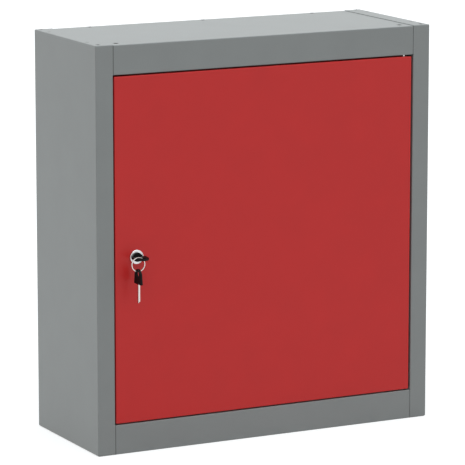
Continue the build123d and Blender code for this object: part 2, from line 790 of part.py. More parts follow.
# Keys: each lies in its own plane, with X across the bow and Y from the blade's shoulder to the ring end.
bow_hole_top = bow_length - bow_rim
bow_hole_y = bow_hole_top - bow_hole_length / 2
ring_y = door_front - bow_face - bow_hole_y
ring_x = lock_x - ring_radius * math.sin(math.radians(ring_hang_angle))
ring_z = lock_z - ring_radius * math.cos(math.radians(ring_hang_angle))
spare_wire_y = bow_hole_top - ring_wire_radius - ring_spare_gap
spare_z = ring_z - ring_radius - spare_wire_y
key_planes = {
    "key": Plane((lock_x, door_front - bow_face, lock_z), x_dir=(1, 0, 0), z_dir=(0, 0, -1)),
    "spare_key": Plane((ring_x, ring_y, spare_z), x_dir=(0, 1, 0), z_dir=(1, 0, 0)),
}
for name, plane in key_planes.items():
    with BuildPart() as key_blade:
        with BuildSketch(plane.offset(-blade_sheet / 2)):
            with BuildLine():
                Polyline(
                    (-blade_width / 2, blade_tang),
                    (-blade_width / 2, blade_tip - blade_length),
                    (-blade_width / 2 + blade_tip, -blade_length),
                    (blade_width / 2 - blade_tip, -blade_length),
                    (blade_width / 2, blade_tip - blade_length),
                    (blade_width / 2, blade_tang),
                    close=True,
                )
            make_face()
        extrude(amount=blade_sheet)
    key_blade.part.label = f"{name}_blade"
    export_step(key_blade.part, f"parts/{name}_blade.step")

    bow_waist_y = bow_waist_share * bow_length
    with BuildPart() as key_bow:
        with BuildSketch(plane.offset(-bow_sheet / 2)) as bow_outline:
            with BuildLine():
                Polyline(
                    (-bow_waist / 2, bow_waist_y),
                    (-bow_base / 2, 0),
                    (bow_base / 2, 0),
                    (bow_waist / 2, bow_waist_y),
                )
                ThreePointArc(
                    (bow_waist / 2, bow_waist_y), (0, bow_length), (-bow_waist / 2, bow_waist_y)
                )
            make_face()
            fillet(bow_outline.vertices().group_by(Axis.Y)[0], radius=bow_corner)
        extrude(amount=bow_sheet)
        flat_faces = key_bow.faces().filter_by(Axis(plane.origin, plane.z_dir))
        fillet(flat_faces.edges(), radius=bow_round)
        with BuildSketch(plane.offset(-bow_sheet)):
            with Locations((0, bow_hole_y)):
                SlotOverall(bow_hole_length, bow_hole_width, rotation=90)
        extrude(amount=2 * bow_sheet, mode=Mode.SUBTRACT)
        with BuildSketch(plane.offset(-blade_sheet / 2)):
            with Locations((0, blade_tang / 2)):
                Rectangle(blade_width, blade_tang)
        extrude(amount=blade_sheet, mode=Mode.SUBTRACT)
    key_bow.part.label = f"{name}_bow"
    export_step(key_bow.part, f"parts/{name}_bow.step")

# Key ring: round wire through both bows, hanging down to the left of the lock, cut at one point.
with BuildPart() as key_ring:
    with BuildSketch(Plane((ring_x, ring_y, ring_z), x_dir=(-1, 0, 0), z_dir=(0, 0, 1))):
        with Locations((ring_radius, 0)):
            Circle(ring_wire_radius)
    revolve(axis=Axis((ring_x, ring_y, ring_z), (0, 1, 0)), revolution_arc=360 - ring_split_angle)
key_ring.part.label = "key_ring"
export_step(key_ring.part, "parts/key_ring.step")
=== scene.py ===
import json
import math

import bmesh
import bpy
from mathutils import Matrix, Vector


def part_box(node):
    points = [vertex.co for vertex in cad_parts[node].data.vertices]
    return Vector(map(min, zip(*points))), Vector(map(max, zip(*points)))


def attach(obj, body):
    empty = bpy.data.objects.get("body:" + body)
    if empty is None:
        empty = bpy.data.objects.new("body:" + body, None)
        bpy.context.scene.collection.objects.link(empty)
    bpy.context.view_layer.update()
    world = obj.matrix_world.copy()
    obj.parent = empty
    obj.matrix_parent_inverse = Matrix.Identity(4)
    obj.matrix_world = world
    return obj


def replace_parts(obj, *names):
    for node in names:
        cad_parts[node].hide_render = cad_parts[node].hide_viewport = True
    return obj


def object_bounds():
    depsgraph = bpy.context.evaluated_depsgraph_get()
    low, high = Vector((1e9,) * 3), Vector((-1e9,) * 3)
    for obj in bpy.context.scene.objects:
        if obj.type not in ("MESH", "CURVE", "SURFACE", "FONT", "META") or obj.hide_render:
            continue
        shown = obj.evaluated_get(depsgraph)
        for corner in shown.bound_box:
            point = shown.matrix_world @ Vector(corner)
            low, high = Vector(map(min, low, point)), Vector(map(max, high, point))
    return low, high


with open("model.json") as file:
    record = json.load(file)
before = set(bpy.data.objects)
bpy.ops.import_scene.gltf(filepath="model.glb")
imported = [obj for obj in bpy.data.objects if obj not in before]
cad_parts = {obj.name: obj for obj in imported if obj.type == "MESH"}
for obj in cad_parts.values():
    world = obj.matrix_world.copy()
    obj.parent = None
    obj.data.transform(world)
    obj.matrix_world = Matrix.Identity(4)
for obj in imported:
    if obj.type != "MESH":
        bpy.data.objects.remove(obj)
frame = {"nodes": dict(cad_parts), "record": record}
cad_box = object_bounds()
nodes = frame["nodes"]

# Carcass: two side trays, a top, a base and a back, folded from 0.8 mm steel sheet and riveted together.
# The shell is powder coated in one mid grey: a satin skin with a soft orange peel and a fine grain in it.
# The rails carry painted shade along their joints beside the posts, and the top carries painted shade round
# its holes.
carcass_grey = (0.265, 0.275, 0.272)
coat_roughness = (0.31, 0.41)
coat_specular = 0.4
coat_mottle = 0.05
mottle_size = 0.045
sheen_size = 0.0021
peel_size = 0.0032
peel_height = 0.00002
grain_size = 0.0007
grain_height = 0.000006
post_width = 0.030
# Painted shade: the width, softness and taper of the dark lines at the joints beside the posts, and of the
# dark rings round the holes.
joint_shade_width = 0.0008
joint_shade_softness = 1.6
joint_shade_narrowing = 1.94
joint_shade_taper = 4.7
hole_shade_width = 0.0018
hole_shade_softness = 1.5
painted_shade_share = 0.08
skin_depth = 0.003
millimetre = 0.001


class Field:
    """A value that changes over a finish: arithmetic adds Math nodes, and node() adds any other node."""

    def __init__(self, tree, socket):
        self.tree = tree
        self.socket = socket

    def node(self, kind, settings, sockets, output=0):
        made = self.tree.nodes.new(kind)
        for name, value in settings.items():
            setattr(made, name, value)
        for name, value in sockets.items():
            if isinstance(value, Field):
                self.tree.links.new(value.socket, made.inputs[name])
            else:
                made.inputs[name].default_value = value
        return Field(self.tree, made.outputs[output])

    def maths(self, operation, *values):
        return self.node("ShaderNodeMath", {"operation": operation}, dict(enumerate(values)))

    def __add__(self, other):
        return self.maths("ADD", self, other)

    def __radd__(self, other):
        return self.maths("ADD", other, self)

    def __sub__(self, other):
        return self.maths("SUBTRACT", self, other)

    def __rsub__(self, other):
        return self.maths("SUBTRACT", other, self)

    def __mul__(self, other):
        return self.maths("MULTIPLY", self, other)

    def __rmul__(self, other):
        return self.maths("MULTIPLY", other, self)


def noise(place, size, detail=2.0):
    """Soft random spots of about the given size in metres, from 0 to 1."""
    return place.node("ShaderNodeTexNoise", {}, {"Vector": place, "Scale": 1 / size, "Detail": detail})


def tint(amount, low, high):
    """A colour between two others, which are fixed or fields."""
    # The colours of a Mix node are its inputs 6 and 7 and its output 2.
    ends = [end if isinstance(end, Field) else (*end, 1) for end in (low, high)]
    return amount.node("ShaderNodeMix", {"data_type": "RGBA"}, {0: amount, 6: ends[0], 7: ends[1]}, output=2)


def shaded(colour, share):
    """The colour with each part multiplied by a share."""
    return [part * share for part in colour]


def between(amount, low, high):
    """A value between two others, by an amount from 0 to 1."""
    return low + (high - low) * amount


def relief(height, depth):
    """A bump of the given depth in metres from a height of 0 to 1."""
    return height.node("ShaderNodeBump", {}, {"Strength": 1.0, "Distance": depth, "Height": height})


def new_finish(name, constants):
    """A material, its shader with the values that don't change set on it, and the object's coordinates."""
    material = bpy.data.materials.new(name)
    material.use_nodes = True
    shader = material.node_tree.nodes["Principled BSDF"]
    for socket, value in constants.items():
        shader.inputs[socket].default_value = value
    place = material.node_tree.nodes.new("ShaderNodeTexCoord").outputs["Object"]
    return material, shader, Field(material.node_tree, place)


def feed(shader, fields):
    """Links fields to the shader's sockets by name."""
    for socket, field in fields.items():
        field.tree.links.new(field.socket, shader.inputs[socket])


def powder_coat(name, colour, painted_shade_places=()):
    """Baked powder in one colour: faint mottling, satin skin, orange peel, and painted shade over the given
    places.
    """
    material, shader, place = new_finish(name, {"Specular IOR Level": coat_specular})
    mottle = noise(place, mottle_size, detail=4.0)
    skin = noise(place, peel_size) * peel_height + noise(place, grain_size) * grain_height
    coat = tint(mottle, shaded(colour, 1 - coat_mottle), shaded(colour, 1 + coat_mottle))
    for painted_shade_place in painted_shade_places:
        # Painted shade: each given place darkens the coat towards a small share of its colour.
        coat = tint(painted_shade_place(place), coat, shaded(colour, painted_shade_share))
    feed(shader, {
        "Base Color": coat,
        "Roughness": between(noise(place, sheen_size), *coat_roughness),
        "Normal": relief(skin, 1.0),
    })
    return material


def dress(names, material):
    """Gives CAD nodes one finish."""
    for name in names:
        mesh = nodes[name].data
        mesh.materials.clear()
        mesh.materials.append(material)


def clamped(amount):
    """The field held between 0 and 1."""
    return amount.node("ShaderNodeClamp", {}, {"Value": amount})


def parted(place):
    """The places across, along and up the cabinet, each as a field."""
    return [place.node("ShaderNodeSeparateXYZ", {}, {"Vector": place}, output=axis) for axis in range(3)]


def painted_shade_beside_posts(place):
    """Painted shade along the joints beside the posts, on the front and the top, wider on the lock side than
    on the hinge side.
    """
    across, depth, height = parted(place)
    off_joint = across.maths("ABSOLUTE", across.maths("ABSOLUTE", across) - post_edge)
    narrowing = joint_shade_narrowing + joint_shade_taper * across
    line = clamped(joint_shade_softness - off_joint * (1 / joint_shade_width) * narrowing)
    on_front = depth.maths("LESS_THAN", depth, rail_front + skin_depth)
    on_top = height.maths("GREATER_THAN", height, cad_box[1].z - skin_depth)
    return line * across.maths("MAXIMUM", on_front, on_top)


def painted_shade_in_holes(place):
    """Painted shade in the holes punched in the top and in a soft dark ring round each edge."""
    across, depth, height = parted(place)
    aside = across.maths("ABSOLUTE", across)
    over_plan = across.node("ShaderNodeCombineXYZ", {}, {"X": aside, "Y": depth})
    hole_shade = 0.0
    for centre_x, centre_y, radius in sorted(top_holes):
        spot = {0: over_plan, 1: (centre_x, centre_y, 0)}
        from_axis = over_plan.node("ShaderNodeVectorMath", {"operation": "DISTANCE"}, spot, output=1)
        edge = hole_shade_softness - (from_axis - radius) * (1 / hole_shade_width)
        hole_shade = across.maths("MAXIMUM", edge, hole_shade)
    near_top = height.maths("GREATER_THAN", height, cad_box[1].z - skin_depth)
    return clamped(hole_shade) * near_top


post_edge = cad_box[1].x - post_width
rail_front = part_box("top_panel")[0].y
top_holes = set()
for mount in frame["record"]["mounts"]:
    if mount["name"].startswith("top_"):
        measures = mount["dims"]
        middle_x, middle_y = mount["pos_m"][:2]
        half_x = measures.get("spacing_x_mm", 0) * millimetre / 2
        half_y = measures.get("spacing_y_mm", 0) * millimetre / 2
        hole_radius = measures.get("hole_r_mm", measures.get("r_mm")) * millimetre
        top_holes |= {(middle_x + half_x, middle_y + side * half_y, hole_radius) for side in (-1, 1)}
grey_coat = powder_coat("grey_powder_coat", carcass_grey)
dress(("back_panel",), grey_coat)
# The sides carry painted shade round their holes, and the top and base also along their joints beside the
# posts.
dress(("left_side_panel", "right_side_panel"), powder_coat("side_powder_coat", carcass_grey, (painted_shade_in_holes,)))
rail_coat_painted_shade = powder_coat("rail_powder_coat", carcass_grey, (painted_shade_beside_posts, painted_shade_in_holes))
dress(("top_panel", "base_panel"), rail_coat_painted_shade)

# Flush rivets: steel rivets with countersunk heads, set level with the sheet before the shell is coated.
# Each head is coloured as a dark disc, as painted shade for the slight recess round the flush head.
rivet_painted_shade_grey = (0.07, 0.073, 0.072)
dress(("top_rivets", "base_rivets", "back_rivets"), powder_coat("rivet_powder_coat", rivet_painted_shade_grey))

# Slotted uprights and shelves: folded sheet in the same grey coat, the uprights spot welded to the sides and
# the shelves lying on hooked clips of bright zinc-plated steel strip.
zinc = (0.62, 0.63, 0.64)
zinc_dull_share = 0.86
zinc_cloud_size = 0.006
zinc_roughness = (0.24, 0.40)
zinc_scratch_size = 0.0004
zinc_scratch_depth = 0.000004


def plated_steel(name, metal, dull_share, cloud_size, roughness, scratch_size, scratch_depth):
    """Plating on steel: bright metal, cloudy where the plating is thicker, with fine scratches."""
    material, shader, place = new_finish(name, {"Metallic": 1.0})
    cloud = noise(place, cloud_size, detail=3.0)
    feed(shader, {
        "Base Color": tint(cloud, shaded(metal, dull_share), metal),
        "Roughness": between(cloud, *roughness),
        "Normal": relief(noise(place, scratch_size, detail=3.0), scratch_depth),
    })
    return material


zinc_finish = plated_steel(
    "bright_zinc_plate", zinc, zinc_dull_share, zinc_cloud_size, zinc_roughness,
    zinc_scratch_size, zinc_scratch_depth,
)
dress(("front_left_upright", "rear_left_upright", "front_right_upright", "rear_right_upright"), grey_coat)
dress(("lower_shelf", "upper_shelf"), grey_coat)
dress(("lower_shelf_clips", "upper_shelf_clips"), zinc_finish)

# Door: a pan folded from one sheet, powder coated red on both sides, with a hat section inside that is
# spot welded along its two feet. Each weld leaves a shallow round dish with a raised lip under the paint.
door_red = (0.60, 0.015, 0.014)
weld_radius = 0.0032
weld_lip = 0.0007
weld_height = 0.00025
weld_dish_height = 0.00005
weld_pitch = 0.048
weld_steps = 20
merge_distance = 1e-5
crease_angle = math.radians(32)
sheet = 0.0008
foot_width = 0.014
weld_inset = 0.5 * foot_width
door_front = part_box("door_panel")[0].y
stiffener_low, stiffener_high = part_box("door_stiffener")
red_coat = powder_coat("red_powder_coat", door_red)
dress(("door_panel", "door_stiffener"), red_coat)


def turn_section(shape, points, centre, axis, steps):
    """Turns a section once round an axis and closes it on itself."""
    corners = [shape.verts.new(point) for point in points]
    sides = [shape.edges.new(pair) for pair in zip(corners, corners[1:])]
    bmesh.ops.spin(
        shape, geom=corners + sides, cent=centre, axis=axis, angle=math.tau, steps=steps, use_merge=True
    )


def new_piece(name, shape, finish, body):
    """Makes a bmesh one piece with a finish, sharp only at its real edges, that rides on a body."""
    bmesh.ops.remove_doubles(shape, verts=shape.verts, dist=merge_distance)
    bmesh.ops.recalc_face_normals(shape, faces=shape.faces)
    mesh = bpy.data.meshes.new(name)
    shape.to_mesh(mesh)
    shape.free()
    mesh.shade_smooth()
    mesh.set_sharp_from_angle(angle=crease_angle)
    mesh.materials.append(finish)
    piece = bpy.data.objects.new(name, mesh)
    bpy.context.scene.collection.objects.link(piece)
    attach(piece, body)
    return piece


foot_face = stiffener_low.y + sheet
weld_rows = (stiffener_low.x + weld_inset, stiffener_high.x - weld_inset)
weld_count = int((stiffener_high.z - stiffener_low.z) / weld_pitch)
weld_start = (stiffener_low.z + stiffener_high.z - weld_pitch * (weld_count - 1)) / 2
welds = bmesh.new()
for row_x in weld_rows:
    for count in range(weld_count):
        weld_z = weld_start + count * weld_pitch
        weld_section = (
            (0, weld_dish_height),
            (weld_radius - 2 * weld_lip, weld_dish_height),
            (weld_radius - weld_lip, weld_height),
            (weld_radius, -weld_height),
            (0, -weld_height),
        )
        turn_section(
            welds,
            [(row_x + out, foot_face + up, weld_z) for out, up in weld_section],
            (row_x, foot_face, weld_z), (0, 1, 0), weld_steps,
        )
new_piece("stiffener_spot_welds", welds, red_coat, "door")

# Pivot hinge: plated steel brackets and headed pins in the door, turning in nylon bushes in the rails,
# coloured almost black as painted shade for the narrow gaps they sit in.
# The pins are ground bright where they run, so the upper one shows as a light spot in the gap over the door.
pin_steel = (0.86, 0.86, 0.85)
pin_dull_share = 0.92
pin_cloud_size = 0.0015
pin_roughness = (0.16, 0.26)
# The bushes' near-black colour is painted shade for the gaps over and under the door.
nylon = (0.018, 0.018, 0.019)
nylon_dark_share = 0.8
nylon_specular = 0.3
nylon_cloud_size = 0.002
nylon_roughness = (0.38, 0.50)
nylon_grain_size = 0.0004
nylon_grain_height = 0.000008
dress(("upper_pin_bracket", "lower_pin_bracket"), zinc_finish)
pin_finish, pin_shader, pin_place = new_finish("ground_pin_steel", {"Metallic": 1.0})
pin_cloud = noise(pin_place, pin_cloud_size, detail=3.0)
feed(pin_shader, {
    "Base Color": tint(pin_cloud, shaded(pin_steel, pin_dull_share), pin_steel),
    "Roughness": between(pin_cloud, *pin_roughness),
})
dress(("upper_hinge_pin", "lower_hinge_pin"), pin_finish)
nylon_painted_shade_finish, nylon_shader, nylon_place = new_finish("bush_nylon", {"Specular IOR Level": nylon_specular})
nylon_cloud = noise(nylon_place, nylon_cloud_size)
feed(nylon_shader, {
    "Base Color": tint(nylon_cloud, shaded(nylon, nylon_dark_share), nylon),
    "Roughness": between(nylon_cloud, *nylon_roughness),
    "Normal": relief(noise(nylon_place, nylon_grain_size), nylon_grain_height),
})
dress(("upper_hinge_bush", "lower_hinge_bush"), nylon_painted_shade_finish)

# Lock housing: die-cast zinc, turned and chromed. Its bezel has a rounded rim, a groove and a flat band, and
# the barrel behind it has a coarse thread for the nut, milled away at two flats that stop it turning.
chrome = (0.68, 0.685, 0.69)
chrome_dull_share = 0.93
chrome_cloud_size = 0.003
chrome_roughness = (0.16, 0.26)
turning_pitch = 0.00035
turning_wave_scale = 0.05
turning_wobble = 0.4
turning_depth = 0.000003
bezel_edge = 0.0012
bezel_edge_steps = 6
bezel_steps = 96
band_radius = 0.0092
groove_width = 0.0007
groove_depth = 0.0005
bore_radius = 0.00658
bore_chamfer = 0.0004
thread_pitch = 0.0015
thread_depth = 0.0007
thread_crest = 0.0003
barrel_radius = 0.0095
barrel_flats = 0.016
barrel_steps = 72
cut_tolerance = 1e-7
lock_low, lock_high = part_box("lock_housing")
lock_x = (lock_low.x + lock_high.x) / 2
lock_z = (lock_low.z + lock_high.z) / 2
bezel_radius = (lock_high.x - lock_low.x) / 2
chrome_finish, chrome_shader, chrome_place = new_finish("turned_chrome", {"Metallic": 1.0})
centred = chrome_place.node(
    "ShaderNodeMapping",
    {"vector_type": "POINT"},
    {"Vector": chrome_place, "Location": (-lock_x, 0, -lock_z)},
)
turning = centred.node(
    "ShaderNodeTexWave",
    {"wave_type": "RINGS", "rings_direction": "Y"},
    {"Vector": centred, "Scale": turning_wave_scale / turning_pitch, "Distortion": turning_wobble},
)
feed(chrome_shader, {
    "Base Color": tint(turning, shaded(chrome, chrome_dull_share), chrome),
    "Roughness": between(noise(chrome_place, chrome_cloud_size), *chrome_roughness),
    "Normal": relief(turning, turning_depth),
})


def lock_point(radius, depth):
    """A point of a turned section, by its distance from the lock's axis and its place along it."""
    return (lock_x + radius, depth, lock_z)


def turn_on_lock(shape, section, steps):
    """Turns a section once round the lock's axis."""
    turn_section(shape, [lock_point(*point) for point in section], (lock_x, 0, lock_z), (0, 1, 0), steps)


def cut_off(shape, point, normal):
    """Cuts away what lies beyond a plane and returns the edges of the cut."""
    everything = shape.verts[:] + shape.edges[:] + shape.faces[:]
    cut = bmesh.ops.bisect_plane(
        shape, geom=everything, plane_co=point, plane_no=normal, dist=cut_tolerance, clear_outer=True
    )
    return [part for part in cut["geom_cut"] if isinstance(part, bmesh.types.BMEdge)]


def cut_flat(shape, point, normal):
    """Cuts away what lies beyond a plane and closes the cut."""
    bmesh.ops.holes_fill(shape, edges=cut_off(shape, point, normal), sides=0)


housing = bmesh.new()
thread_turns = math.ceil((lock_high.y - door_front) / thread_pitch) + 2
thread_start = door_front - thread_pitch
ridge_points = (
    (barrel_radius - thread_depth, 0),
    (barrel_radius, 0.5 * (thread_pitch - thread_crest)),
    (barrel_radius, 0.5 * (thread_pitch + thread_crest)),
    (barrel_radius - thread_depth, thread_pitch),
)
ridge = [housing.verts.new(lock_point(out, thread_start + along)) for out, along in ridge_points]
ridge_sides = [housing.edges.new(pair) for pair in zip(ridge, ridge[1:])]
bmesh.ops.spin(
    housing, geom=ridge + ridge_sides, cent=(lock_x, 0, lock_z), axis=(0, 1, 0),
    dvec=(0, thread_pitch / barrel_steps, 0), angle=math.tau * thread_turns,
    steps=barrel_steps * thread_turns,
)
bmesh.ops.remove_doubles(housing, verts=housing.verts, dist=merge_distance)
bore_rims = []
for end_y, outward in ((door_front, -1), (lock_high.y, 1)):
    rim = cut_off(housing, (0, end_y, 0), (0, outward, 0))
    at_end = Matrix.Translation((lock_x, end_y, lock_z)) @ Matrix.Rotation(math.radians(90), 4, "X")
    bore = bmesh.ops.create_circle(housing, segments=barrel_steps, radius=bore_radius, matrix=at_end)
    bore_rim = list({edge for vert in bore["verts"] for edge in vert.link_edges})
    bmesh.ops.triangle_fill(housing, edges=rim + bore_rim, use_beauty=True, normal=(0, outward, 0))
    bore_rims += bore_rim
bmesh.ops.bridge_loops(housing, edges=bore_rims)
for side in (-1, 1):
    cut_flat(housing, (lock_x + side * barrel_flats / 2, 0, 0), (side, 0, 0))
rim_inner = band_radius + groove_width
bezel_section = [
    (bore_radius, door_front),
    (bore_radius, lock_low.y + bore_chamfer),
    (bore_radius + bore_chamfer, lock_low.y),
    (band_radius, lock_low.y),
    (band_radius, lock_low.y + groove_depth),
    (rim_inner, lock_low.y + groove_depth),
    (rim_inner, lock_low.y),
]
for step in range(bezel_edge_steps + 1):
    turn = math.radians(90 * step / bezel_edge_steps)
    bezel_section.append((
        bezel_radius - bezel_edge + bezel_edge * math.sin(turn),
        lock_low.y + bezel_edge - bezel_edge * math.cos(turn),
    ))
bezel_section += [(bezel_radius, door_front), (bore_radius, door_front)]
turn_on_lock(housing, bezel_section, bezel_steps)
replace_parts(new_piece("lock_housing_turned", housing, chrome_finish, "door"), "lock_housing")

# Lock nut and cam screw: hexagons of zinc-plated steel with turned chamfers, the nut round the barrel and
# the screw, with a dished head, on the end of the plug.
chamfer_rise = 0.0008
nut_steps = 96
nut_clearance = 0.0001
nut_face_inset = 0.0004
nut_low, nut_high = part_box("lock_nut")
screw_low, screw_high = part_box("cam_screw")
screw_steps = 72
screw_face_inset = 0.0003
head_depth = 0.0035
shank_radius = 0.0025
shank_chamfer = 0.0004
dish_radius = 0.0024
dish_depth = 0.0005


def cut_hexagon(shape, across_flats):
    """Cuts six flats round the lock's axis, two of them level."""
    for count in range(6):
        turn = math.radians(30 + 60 * count)
        outward = Vector((math.cos(turn), 0, math.sin(turn)))
        cut_flat(shape, Vector((lock_x, 0, lock_z)) + outward * across_flats / 2, outward)


nut = bmesh.new()
nut_flats = nut_high.z - nut_low.z
nut_corner = nut_flats / 2 / math.cos(math.radians(30))
nut_bore = barrel_radius + nut_clearance
nut_face = nut_flats / 2 - nut_face_inset
nut_section = (
    (nut_bore, nut_low.y + chamfer_rise / 2),
    (nut_bore + chamfer_rise / 2, nut_low.y),
    (nut_face, nut_low.y),
    (nut_corner, nut_low.y + chamfer_rise),
    (nut_corner, nut_high.y - chamfer_rise),
    (nut_face, nut_high.y),
    (nut_bore + chamfer_rise / 2, nut_high.y),
    (nut_bore, nut_high.y - chamfer_rise / 2),
    (nut_bore, nut_low.y + chamfer_rise / 2),
)
turn_on_lock(nut, nut_section, nut_steps)
bmesh.ops.remove_doubles(nut, verts=nut.verts, dist=merge_distance)
cut_hexagon(nut, nut_flats)
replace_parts(new_piece("lock_nut_chamfered", nut, zinc_finish, "door"), "lock_nut")

screw = bmesh.new()
screw_flats = screw_high.z - screw_low.z
screw_corner = screw_flats / 2 / math.cos(math.radians(30))
screw_face = screw_flats / 2 - screw_face_inset
screw_section = (
    (0, screw_low.y),
    (shank_radius - shank_chamfer, screw_low.y),
    (shank_radius, screw_low.y + shank_chamfer),
    (shank_radius, screw_high.y - head_depth),
    (screw_corner, screw_high.y - head_depth),
    (screw_corner, screw_high.y - chamfer_rise / 2),
    (screw_face, screw_high.y),
    (dish_radius + dish_depth, screw_high.y),
    (dish_radius, screw_high.y - dish_depth),
    (0, screw_high.y - dish_depth),
)
turn_on_lock(screw, screw_section, screw_steps)
bmesh.ops.remove_doubles(screw, verts=screw.verts, dist=merge_distance)
cut_hexagon(screw, screw_flats)
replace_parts(new_piece("cam_screw_hexagon", screw, zinc_finish, "lock_core"), "cam_screw")

# Lock plug, cam and washer: zinc-plated steel, the cam on a square at the plug's inner end. At its outer end
# the plug carries a cap moulded in black plastic, with the fine sparked texture of the mould in its skin.
moulded_black = (0.003, 0.003, 0.0033)
black_dark_share = 0.8
black_specular = 0.13
black_cloud_size = 0.004
black_roughness = (0.42, 0.54)
spark_size = 0.0004
spark_height = 0.00003
dress(("lock_plug", "lock_cam", "cam_washer"), zinc_finish)
black_finish, black_shader, black_place = new_finish(
    "moulded_black_plastic", {"Specular IOR Level": black_specular}
)
black_cloud = noise(black_place, black_cloud_size)
spark = noise(black_place, spark_size)
feed(black_shader, {
    "Base Color": tint(black_cloud, shaded(moulded_black, black_dark_share), moulded_black),
    "Roughness": between(spark, *black_roughness),
    "Normal": relief(spark, spark_height),
})
dress(("lock_cap",), black_finish)

# Keys: nickel-plated steel blades, milled with a groove on each side and cut along one edge, moulded into
# black plastic bows that have a raised rim round the outline and round the hole for the ring.
nickel = (0.74, 0.73, 0.70)
nickel_dull_share = 0.9
nickel_cloud_size = 0.002
nickel_roughness = (0.12, 0.20)
nickel_scratch_size = 0.0003
nickel_scratch_depth = 0.0000015
bow_base = 0.026
bow_waist = 0.022
bow_waist_share = 0.6
bow_arc_steps = 28
bow_corner = 0.002
bow_corner_steps = 6
bow_hole_length = 0.010
bow_hole_width = 0.0094
bow_hole_steps = 40
bow_end_rim = 0.003
bow_rim = 0.0009
bow_recess = 0.0004
bow_round = 0.0006
bow_round_steps = 4
level_normal = 0.9
upright_normal = 0.1
blade_width = 0.008
blade_sheet = 0.0018
blade_tang = 0.008
blade_tip = 0.0026
groove_top_shares = (0.0, 0.22)
groove_under_shares = (-0.40, -0.16)
groove_floor = 0.0005
groove_slope = 0.0002
first_cut = 0.0052
cut_pitch = 0.0038
cut_flat_length = 0.0010
cut_depths = (0.0010, 0.0018, 0.0006, 0.0016, 0.0012, 0.0004)
bow_seat_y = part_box("key_bow")[1].y
spare_low, spare_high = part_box("spare_key_bow")
bow_length = spare_high.z - spare_low.z
bow_sheet = spare_high.x - spare_low.x
blade_length = spare_low.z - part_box("spare_key_blade")[0].z
spare_x = (spare_low.x + spare_high.x) / 2
spare_y = (spare_low.y + spare_high.y) / 2
nickel_finish = plated_steel(
    "key_nickel", nickel, nickel_dull_share, nickel_cloud_size, nickel_roughness,
    nickel_scratch_size, nickel_scratch_depth,
)


def key_place(across, along, origin):
    """Matrix from a key's own axes, across and along the bow, to its place."""
    through = Vector(across).cross(Vector(along))
    turned = Matrix((across, along, through)).transposed().to_4x4()
    return Matrix.Translation(origin) @ turned


def moulded_bow(name, place, body, node):
    """A bow drawn flat, given its thickness, sunk between its rims and rounded all over."""
    shape = bmesh.new()
    waist_y = bow_waist_share * bow_length
    rise = bow_length - waist_y
    arc_radius = (rise ** 2 + (bow_waist / 2) ** 2) / (2 * rise)
    arc_centre = Vector((0, bow_length - arc_radius, 0))
    start = Vector((bow_waist / 2, waist_y, 0))
    arc_turn = 2 * (start - arc_centre).angle(Vector((0, 1, 0)))
    first = shape.verts.new(start)
    arc = bmesh.ops.spin(
        shape, geom=[first], cent=arc_centre, axis=(0, 0, 1), angle=arc_turn, steps=bow_arc_steps
    )
    last = arc["geom_last"][0]
    left = shape.verts.new((-bow_base / 2, 0, 0))
    right = shape.verts.new((bow_base / 2, 0, 0))
    for pair in ((last, left), (left, right), (right, first)):
        shape.edges.new(pair)
    bmesh.ops.contextual_create(shape, geom=shape.edges[:])
    bmesh.ops.bevel(
        shape, geom=[left, right], offset=bow_corner, offset_type="OFFSET", segments=bow_corner_steps,
        profile=0.5, affect="VERTICES", material=-1,
    )
    bmesh.ops.delete(shape, geom=shape.faces[:], context="FACES_ONLY")
    hole_centre = Matrix.Translation((0, bow_length - bow_end_rim - bow_hole_length / 2, 0))
    hole_scale = Matrix.Diagonal((bow_hole_width / 2, bow_hole_length / 2, 1, 1))
    bmesh.ops.create_circle(shape, segments=bow_hole_steps, radius=1.0, matrix=hole_centre @ hole_scale)
    bmesh.ops.bridge_loops(shape, edges=shape.edges[:])
    bmesh.ops.translate(shape, verts=shape.verts[:], vec=(0, 0, -bow_sheet / 2))
    top = bmesh.ops.extrude_face_region(shape, geom=shape.faces[:])["geom"]
    raised = [part for part in top if isinstance(part, bmesh.types.BMVert)]
    bmesh.ops.translate(shape, verts=raised, vec=(0, 0, bow_sheet))
    bmesh.ops.recalc_face_normals(shape, faces=shape.faces)
    for level in (-1, 1):
        panel = [face for face in shape.faces if face.normal.z * level > level_normal]
        for width, depth in ((bow_rim, 0), (bow_recess, -bow_recess)):
            bmesh.ops.inset_region(
                shape, faces=panel, thickness=width, depth=depth, use_boundary=True, use_even_offset=True
            )
    brinks = []
    for edge in shape.edges:
        tilts = sorted(abs(face.normal.z) for face in edge.link_faces)
        if len(tilts) == 2 and tilts[0] < upright_normal and tilts[1] > level_normal:
            brinks.append(edge)
    bmesh.ops.bevel(
        shape, geom=brinks, offset=bow_round, offset_type="OFFSET", segments=bow_round_steps, profile=0.5,
        affect="EDGES", material=-1,
    )
    bmesh.ops.transform(shape, matrix=place, verts=shape.verts[:])
    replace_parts(new_piece(name, shape, black_finish, body), node)


